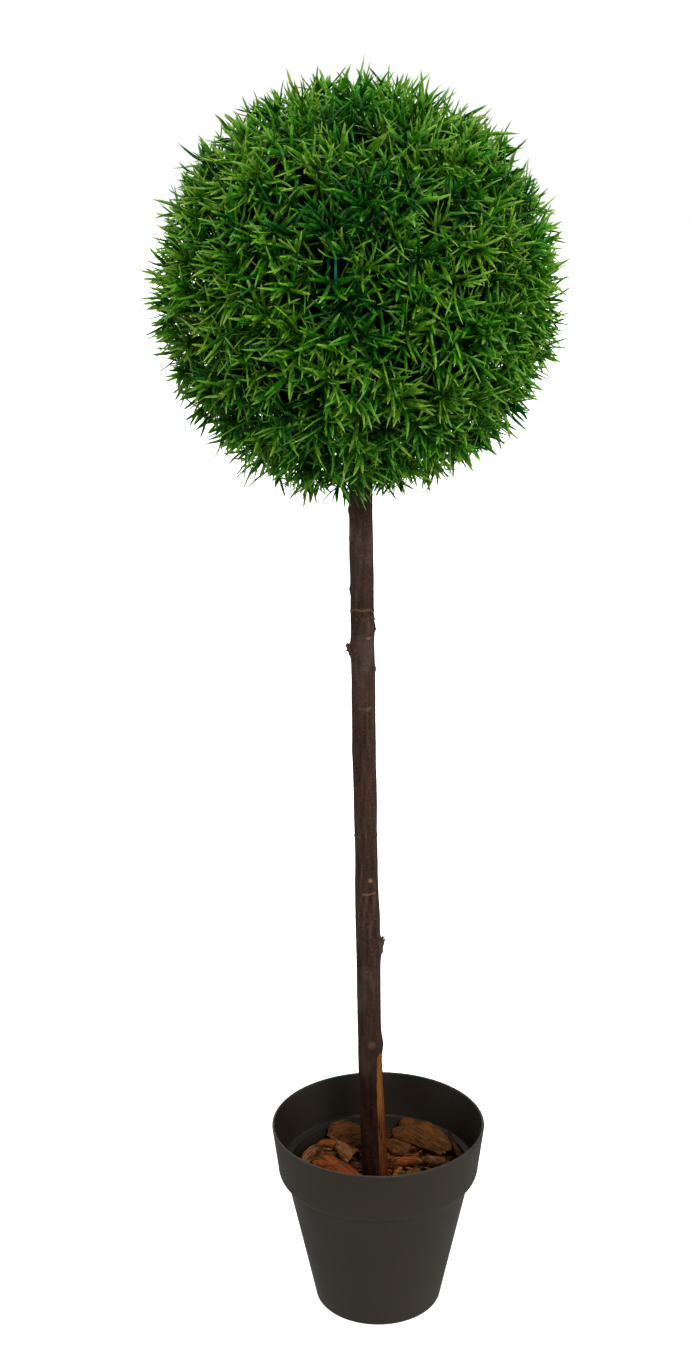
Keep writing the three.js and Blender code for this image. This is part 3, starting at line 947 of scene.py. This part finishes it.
def hides_strip(spot):
    """Whether something at a place would stand in front of the strip."""
    aside = np.abs(spot - STRIP_MIDDLE) - (STRIP_CLEAR, 0, STRIP_CLEAR + STRIP_HALF[2] * 0.7)
    return spot[1] < STRIP_MIDDLE[1] + STRIP_DEPTH and aside[0] < 0 and aside[2] < 0


strip_corners = np.array(list(np.ndindex(2, 2, 2))) * 2 - 1
strip_faces = [(0, 1, 3, 2), (4, 6, 7, 5), (0, 4, 5, 1), (2, 3, 7, 6), (0, 2, 6, 4), (1, 5, 7, 3)]
strip_blue = new_finish("strip_plastic", paint("178068"), 0.5, 0.15)[0]
strip = make_piece(
    "core_strip", STRIP_MIDDLE + strip_corners * STRIP_HALF, strip_faces, materials=[strip_blue],
)
settle(strip, "core")

# %% [markdown]
# ## Growing the sprigs
# A sprig has a short stem out of its socket, which forks into two to four twigs. Each
# twig leans out, carries rings of narrow leaves and ends in a star of leaves. A seeded
# rule grows them all, so the ball is irregular but always the same. Sockets are spread
# over the core by the golden angle, which leaves no rows and no bald patches.

# %% Spread the sockets
SOCKETS = 240
BARE_UNDER = 8  # degrees from the trunk without sockets
rng = np.random.default_rng(20)


def spread_directions(count, loose):
    """Directions spread evenly over a ball and shaken a little."""
    order = np.arange(count) + 0.5
    up = 1 - 2 * order / count
    turn = math.pi * (3 - math.sqrt(5)) * order
    across = np.sqrt(1 - up**2)
    aims = np.column_stack([across * np.cos(turn), across * np.sin(turn), up])
    aims = aims + rng.normal(0, loose, aims.shape)
    return aims / np.linalg.norm(aims, axis=1)[:, None]


def unit(vector):
    return vector / math.sqrt(float(vector @ vector))


def sideways(aim, turn):
    """A direction square to aim, turned round it."""
    first = unit(np.cross(aim, [0.3, 0.2, 0.93] if abs(aim[2]) < 0.9 else [1, 0, 0]))
    return first * math.cos(turn) + np.cross(aim, first) * math.sin(turn)


def lean(aim, turn, angle):
    """aim leaned over by an angle, to the side that turn gives."""
    return aim * math.cos(angle) + sideways(aim, turn) * math.sin(angle)


def clear_of_trunk(aims, degrees):
    """The directions that are far enough from straight down."""
    return [aim for aim in aims if aim[2] > -math.cos(math.radians(degrees))]


socket_aims = clear_of_trunk(spread_directions(SOCKETS, 0.03), BARE_UNDER)
print(len(socket_aims), "sockets")

# %% [markdown]
# ### The ball's outline
# The ball is clipped round, but the clipping is rough: a few tips stand out, and there
# are two shallow dips where sprigs are missing. Each leaf asks how far it may reach in
# its own direction, and is drawn in or kept short when it would go further.

# %% How far leaves reach
CLIP_RADIUS = 0.1818
CLIP_ROUGH = 0.0022
SAG = 0.008  # how much further the sprigs hang under the ball
DIPS = [  # direction, width in radians, depth
    ((0.37, 0.24, 0.90), 0.14, 0.008),
    ((0.24, -0.25, -0.94), 0.20, 0.013),
]
dip_aims = [unit(np.array(aim)) for aim, *_ in DIPS]


def outline_at(aim):
    """How far leaf tips reach in a direction from the ball's middle."""
    reach = CLIP_RADIUS + CLIP_ROUGH * float(noise(aim[None] * 0.18, 0.05, 91)[0])
    reach += SAG * max(0.0, -float(aim[2]))
    for dip, (_, width, depth) in zip(dip_aims, DIPS):
        away = math.acos(max(-1.0, min(1.0, float(aim @ dip)))) / width
        reach -= depth * math.exp(-away * away)
    return reach


# %% [markdown]
# ### Leaves round a twig
# A moulded sprig carries its leaves in rings, with a star and a tuft at its end. Exact
# rings would look like toy stars, so each leaf is turned, opened and shifted a little by
# chance, and bent up and to one side along its length.

# %% Grow leaves and rings of leaves
LEAF_LENGTH = 0.0325
LEAF_WIDTH = 0.0030
SHORTEST_CUT = 0.6  # a clipped leaf keeps at least this much of its length
LEAF_BEND = (0.16, 0.26)  # average and spread, as shares of a leaf's length
LEAF_SWAY = (0.0, 0.30)
MOST_BEND = 0.55
WHORL_STEP = 0.0072
STRAY_TIP = 0.0036  # how far some tips stand out of the clipping
MOST_STRAY = 0.012

# leaves, opening angles in degrees, share of the full length
RING = (3, (40, 94), 1.0)
STAR = (5, (46, 92), 1.0)
TUFT = (3, (10, 50), 0.85)

leaves = []


def grow_leaf(foot, aim, face, length, width, twig, most):
    """One bent leaf, shortened if its tip would stand out of the clipped ball."""
    tip = foot + aim * length - ball_middle
    over = math.sqrt(float(tip @ tip)) - most
    if over > 0:
        length = max(SHORTEST_CUT * length, length - over / max(0.35, float(aim @ unit(tip))))
    if hides_strip(foot + aim * length / 2) or hides_strip(foot + aim * length):
        return
    bend, sway = np.clip(rng.normal(*zip(LEAF_BEND, LEAF_SWAY)), -MOST_BEND, MOST_BEND)
    leaves.append((foot, aim, face, length, width, bend, sway, twig))


def grow_whorl(at, stem_aim, turn, whorl, twig, most):
    """Leaves round a twig, each a little out of place."""
    count, open_range, size = whorl
    for k in range(count):
        around = turn + 2 * math.pi * k / count + rng.normal(0, 0.42)
        leaf_aim = lean(stem_aim, around, math.radians(rng.uniform(*open_range)))
        face = unit(stem_aim - leaf_aim * float(stem_aim @ leaf_aim))
        length = LEAF_LENGTH * size * rng.uniform(0.6, 1.15)
        width = LEAF_WIDTH * rng.uniform(0.8, 1.15)
        foot = at + stem_aim * rng.uniform(-0.5, 0.5) * WHORL_STEP
        stray = min(MOST_STRAY, rng.exponential(STRAY_TIP))
        grow_leaf(foot, leaf_aim, face, length, width, twig, most + stray)


# %% [markdown]
# ### Stems, forks and twigs
# Every twig ends just under the clipping, at an even spread of places, so that the ball
# is full all round. It starts from one of the nearest forks, picked by chance, so that
# neighbours cross as they do when sprigs are pushed in by hand.

# %% Grow stems and twigs
STEM = 0.008
STEM_THICK = (0.0016, 0.0012)  # radius at the foot and at the fork
TWIGS = 640
TWIG_THICK = (0.0009, 0.0006)
TWIG_INSET = (0.013, 0.028)  # how far a twig ends under the clipping
BARE_TWIGS_UNDER = 7  # degrees from the trunk without twigs
WHORL_TURN = 0.9
NEAREST = 3  # a twig grows from one of this many nearest sockets

stems = []


def grow_twig(foot, end, twig):
    """A twig that curves a little, with rings of leaves, and a star and a tuft at its end."""
    aim, length = unit(end - foot), math.dist(end, foot)
    bow = sideways(aim, rng.uniform(0, 2 * math.pi)) * length * rng.uniform(0.0, 0.18)
    stems.append((foot, (foot + end) / 2 + bow, end, *TWIG_THICK))
    most = outline_at(unit(end - ball_middle))
    turn = rng.uniform(0, 2 * math.pi)
    whorls = max(2, int(length / WHORL_STEP))
    for whorl in range(whorls):
        share = (whorl + 0.5) / whorls
        at = foot + (end - foot) * share + bow * 4 * share * (1 - share)
        turn += WHORL_TURN
        grow_whorl(at, unit(aim + bow * 4 * (1 - 2 * share) / length), turn, RING, twig, most)
    end_aim = unit(0.5 * aim + 0.5 * unit(end - ball_middle))
    grow_whorl(end, end_aim, turn + 0.5, STAR, twig, most)
    grow_whorl(end, end_aim, turn, TUFT, twig, most)


forks = []
for socket in socket_aims:
    foot = ball_middle + socket * core_radius
    stem_aim = lean(socket, rng.uniform(0, 2 * math.pi), abs(rng.normal(0, 0.2)))
    fork = foot + stem_aim * STEM
    stems.append((foot - socket * 0.003, foot + stem_aim * STEM / 2, fork, *STEM_THICK))
    forks.append(fork)

twig_aims = clear_of_trunk(spread_directions(TWIGS, 0.034), BARE_TWIGS_UNDER)
closeness = np.argsort(-np.array(twig_aims) @ np.array(socket_aims).T, axis=1)
nearest = [order[int(rng.integers(NEAREST))] for order in closeness]
for twig, (twig_aim, socket) in enumerate(zip(twig_aims, nearest)):
    inset = rng.uniform(*TWIG_INSET)
    grow_twig(forks[socket], ball_middle + twig_aim * (outline_at(twig_aim) - inset), twig)
print(len(twig_aims), "twigs,", len(leaves), "leaves")

# %% [markdown]
# ### Leaf colours
# Moulded sprigs come in batches, so whole twigs share a tint: mostly mid and deep
# greens, some bright or yellow-green, a few olive or blue-green. Each leaf is dark at
# its foot and lighter towards its tip, in five even steps of plain colour; the dark foot
# is partly the moulding's own colour and partly painted shade, where the feet lie deep
# among the other leaves. The tints are dealt out by twig. The yellower ones are likelier
# on the ball's upper shoulders, most of all on the right, and round the opening under it.
# A few leaves on each twig take the next tint.

# %% Deal out the tints
# the foot colours are partly painted shade, for leaf feet deep among the other leaves
# name, foot, blade and tip colours, share of the twigs, leaning to the yellow side
TINTS = [
    ("deep", "032401", "115504", "3b941c", 0.24, -0.8),
    ("blue", "032406", "0e5014", "2e8e38", 0.06, -0.7),
    ("mid", "073001", "226e07", "6ab62d", 0.30, -0.2),
    ("fresh", "0c3a02", "37830c", "90d048", 0.25, 0.5),
    ("yellow", "255204", "539314", "a6cf51", 0.09, 2.0),
    ("olive", "1d4004", "3e700f", "86b043", 0.03, 0.9),
]
STRAY_SHARE = 0.2  # leaves that take the next tint
# direction from the ball's middle, pull
YELLOW_SIDES = [
    ((0.75, -0.25, 0.62), 1.0),
    ((-0.75, -0.25, 0.62), 0.75),
    ((-0.1, -0.25, -0.96), 0.6),
]


def deal_tints():
    """A tint number for each twig."""
    aims = np.array(twig_aims)
    patchy = noise(aims * 0.18, 0.07, 131)
    pulls = [pull * aims @ unit(np.array(way)) for way, pull in YELLOW_SIDES]
    side = np.max(pulls, axis=0) + 0.5 * patchy
    chances = np.array([[share * math.exp(lean_to * s) for *_, share, lean_to in TINTS] for s in side])
    chances /= chances.sum(1)[:, None]
    picks = rng.random(len(aims))
    return (np.cumsum(chances, axis=1) < picks[:, None]).sum(1)


twig_tints = deal_tints()
leaf_tints = twig_tints[[leaf[-1] for leaf in leaves]]
stray = rng.random(len(leaves)) < STRAY_SHARE
leaf_tints = np.where(stray, (leaf_tints + 1) % len(TINTS), leaf_tints)
print({tint[0]: int((leaf_tints == k).sum()) for k, tint in enumerate(TINTS)})

# %% [markdown]
# ### One leaf
# A leaf is a thin closed blade: five rings of three points, left edge, rib and right
# edge, and a pointed tip. That is enough for its own outline, a rib that catches the
# light, and a bend along its length, at 28 triangles a leaf. All leaves of a tint are
# made at once from arrays, since a loop over thousands of leaves would be slow.

# %% Blade shape
BLADE_AT = np.array([0.0, 0.2, 0.44, 0.68, 0.88])
BLADE_WIDTH = np.array([0.5, 0.85, 1.0, 0.96, 0.62])
SHADES = len(BLADE_AT)  # one plain colour from each ring to the next, and one for the tip
RIB = 0.32


def grow_blades(rows):
    """Points, faces and colour parts for many leaves at once."""
    foot, aim, face, length, width, bend, sway = (np.array([r[k] for r in rows]) for k in range(7))
    length, width, bend, sway = (a[:, None] for a in (length, width, bend, sway))
    left = np.cross(face, aim)
    drift = (face * bend + left * sway) * length
    rings = []
    for at, broad in zip(BLADE_AT, BLADE_WIDTH):
        middle = foot + aim * length * at + drift * at**2
        up = face - aim * 2 * bend * at
        rings += [
            middle + left * width * broad / 2,
            middle + up * width * broad * RIB,
            middle - left * width * broad / 2,
        ]
    tip = foot + aim * length + drift
    points = np.stack([*rings, tip], axis=1)
    each = points.shape[1]
    quads = ring_quads(len(BLADE_AT), 3)
    last = 3 * (len(BLADE_AT) - 1)
    tris = np.vstack([cap_tris(last, 3, each - 1, upward=True), [[2, 1, 0]]])
    shift = (np.arange(len(rows)) * each)[:, None, None]
    last_shade = SHADES - 1
    parts = np.concatenate([
        np.tile(np.repeat(np.arange(last_shade), 3), len(rows)),
        np.tile([last_shade, last_shade, last_shade, 0], len(rows)),
    ])
    return points.reshape(-1, 3), (quads + shift).reshape(-1, 4), (tris + shift).reshape(-1, 3), parts


# %% Make the leaves, one piece for each tint
LEAF_ROUGH = 0.45
LEAF_GLOSS = 0.12


def leaf_shades(tint, foot_code, blade_code, tip_code):
    """Soft moulded plastic in plain colours from a leaf's foot to its tip."""
    steps = np.linspace(0, 2, SHADES)
    ends = np.array([paint(code) for code in (foot_code, blade_code, tip_code)])
    colours = np.column_stack([np.interp(steps, [0, 1, 2], ends[:, k]) for k in range(4)])
    return [
        new_finish(f"leaf_{tint}_{k + 1}", tuple(map(float, colour)), LEAF_ROUGH, LEAF_GLOSS)[0]
        for k, colour in enumerate(colours)
    ]


for number, (tint, foot_code, blade_code, tip_code, *_) in enumerate(TINTS):
    rows = [leaves[k] for k in np.flatnonzero(leaf_tints == number)]
    points, quads, tris, parts = grow_blades(rows)
    finishes = leaf_shades(tint, foot_code, blade_code, tip_code)
    piece = make_piece(f"leaves_{tint}", points, quads, tris, finishes, parts, smooth_to=62)
    settle(piece, "leaves", *(["foliage_ball"] if number == 0 else []))

# %% [markdown]
# ### Stems and twigs
# The stems are thin tapering tubes of the same plastic in dark green, bent at their
# middle, and darkened further as painted shade. They only show deep between the leaves,
# so five sides are enough.

# %% Draw the stems
STEM_SIDES = 5


def bent_tube(start, bend, end, thick, thin, sides):
    """A closed tube through three points."""
    aim = unit(end - start)
    across = sideways(aim, 0.0)
    other = np.cross(aim, across)
    points = []
    for spot, radius in ((start, thick), (bend, (thick + thin) / 2), (end, thin)):
        for k in range(sides):
            angle = 2 * math.pi * k / sides
            points.append(spot + radius * (across * math.cos(angle) + other * math.sin(angle)))
    return closed_rings(np.array(points), sides, start, end + aim * thin)


# the stems' near-black green is partly the plastic's own dark green and partly painted shade
stem_green_and_shade = new_finish("stem_plastic_and_shade", paint("0d2a09"), 0.6, 0.15)[0]
stem_points, stem_quads, stem_tris = join_meshes([bent_tube(*row, STEM_SIDES) for row in stems])
sprig_stems = make_piece(
    "sprig_stems", stem_points, stem_quads, stem_tris, [stem_green_and_shade], smooth_to=70,
)
settle(sprig_stems, "leaves")

# %% Sockets round the sprigs' feet
SOCKET_SIDES = 12
SOCKET_THICK = (0.0036, 0.0030)
SOCKET_LEVELS = (-0.002, 0.001, 0.004)  # from the core's skin

socket_meshes = [
    bent_tube(
        *(ball_middle + aim * (core_radius + level) for level in SOCKET_LEVELS),
        *SOCKET_THICK, SOCKET_SIDES,
    )
    for aim in socket_aims
]
socket_points, socket_quads, socket_tris = join_meshes(socket_meshes)
sockets = make_piece(
    "core_sockets", socket_points, socket_quads, socket_tris, [core_green_and_shade], smooth_to=40,
)
settle(sockets, "core")

# %% [markdown]
# ## Floor and light
# The plant stands on a light table in a white studio. A white floor that lit the plant
# from below would take the depth out of the leaves, so the floor glows only for the
# camera: its ray visibility is switched off for light that bounces. The room is white
# behind the plant and gives a weaker, even light round it.

# %% Floor
FLOOR_HALF = 60.0
FLOOR_GLOW = 0.95
WHITE = (1.0, 1.0, 1.0, 1.0)

floor_finish, floor_shader = new_finish("floor_white", (0.9, 0.9, 0.9, 1.0), 0.9, 0.1)
floor_shader.inputs["Emission Color"].default_value = WHITE
floor_shader.inputs["Emission Strength"].default_value = FLOOR_GLOW
floor = make_piece(
    "floor",
    [(-FLOOR_HALF, -FLOOR_HALF, 0), (FLOOR_HALF, -FLOOR_HALF, 0),
     (FLOOR_HALF, FLOOR_HALF, 0), (-FLOOR_HALF, FLOOR_HALF, 0)],
    [(0, 1, 2, 3)], materials=[floor_finish],
)
floor.visible_diffuse = False
floor.visible_glossy = False

# %% White room
WALL_LIGHT = 0.17
CEILING_LIGHT = 0.12
FLOOR_LIGHT = 0.36
# height of the direction looked in, from straight down at 0 to straight up at 1, and light
room_levels = [(0.44, FLOOR_LIGHT), (0.5, WALL_LIGHT), (0.66, WALL_LIGHT), (0.85, CEILING_LIGHT)]

world = bpy.data.worlds.new("white_room")
bpy.context.scene.world = world
world.use_nodes = True
room = Nodes(world)
seen = world.node_tree.nodes["Background"]
felt = room.add("ShaderNodeBackground")
for backdrop in (seen, felt):
    backdrop.inputs["Color"].default_value = WHITE
up_axis = room.add("ShaderNodeSeparateXYZ")
room.link(room.add("ShaderNodeTexCoord").outputs["Generated"], up_axis.inputs["Vector"])
from_floor = room.sum(room.sum(up_axis.outputs["Z"], 0.5, "MULTIPLY"), 0.5)
stops = [(position, (level, level, level, 1.0)) for position, level in room_levels]
room.link(room.ramp(from_floor, stops), felt.inputs["Strength"])
choice = room.add("ShaderNodeMixShader")
room.link(room.add("ShaderNodeLightPath").outputs["Is Camera Ray"], choice.inputs["Fac"])
room.link(felt.outputs["Background"], choice.inputs[1])
room.link(seen.outputs["Background"], choice.inputs[2])
room.link(choice.outputs["Shader"], world.node_tree.nodes["World Output"].inputs["Surface"])
print("white room", room_levels)


# %% Soft lights
def soft_sun(name, comes_from, power, spread):
    """A sun as soft as a big cloth screen, so that it is even over the whole floor."""
    data = bpy.data.lights.new(name, "SUN")
    data.energy = power
    data.angle = math.radians(spread)
    lamp = bpy.data.objects.new(name, data)
    lamp.rotation_euler = Vector(comes_from).to_track_quat("Z", "Y").to_euler()
    bpy.context.scene.collection.objects.link(lamp)
    print(f"{name} light: strength {power}, {spread} degrees wide")


soft_sun("key", (0.35, -1.0, 0.70), 1.75, 24)
soft_sun("top", (-0.1, 0.25, 0.96), 1.8, 36)
soft_sun("left", (-1.0, -0.12, 0.10), 0.70, 36)
soft_sun("right", (1.0, -0.12, 0.14), 0.88, 36)
soft_sun("back", (-0.4, 1.0, 0.4), 0.5, 40)

bpy.context.scene.view_settings.view_transform = "Standard"
bpy.context.scene.view_settings.look = "None"
bpy.context.scene.view_settings.exposure = 0.0
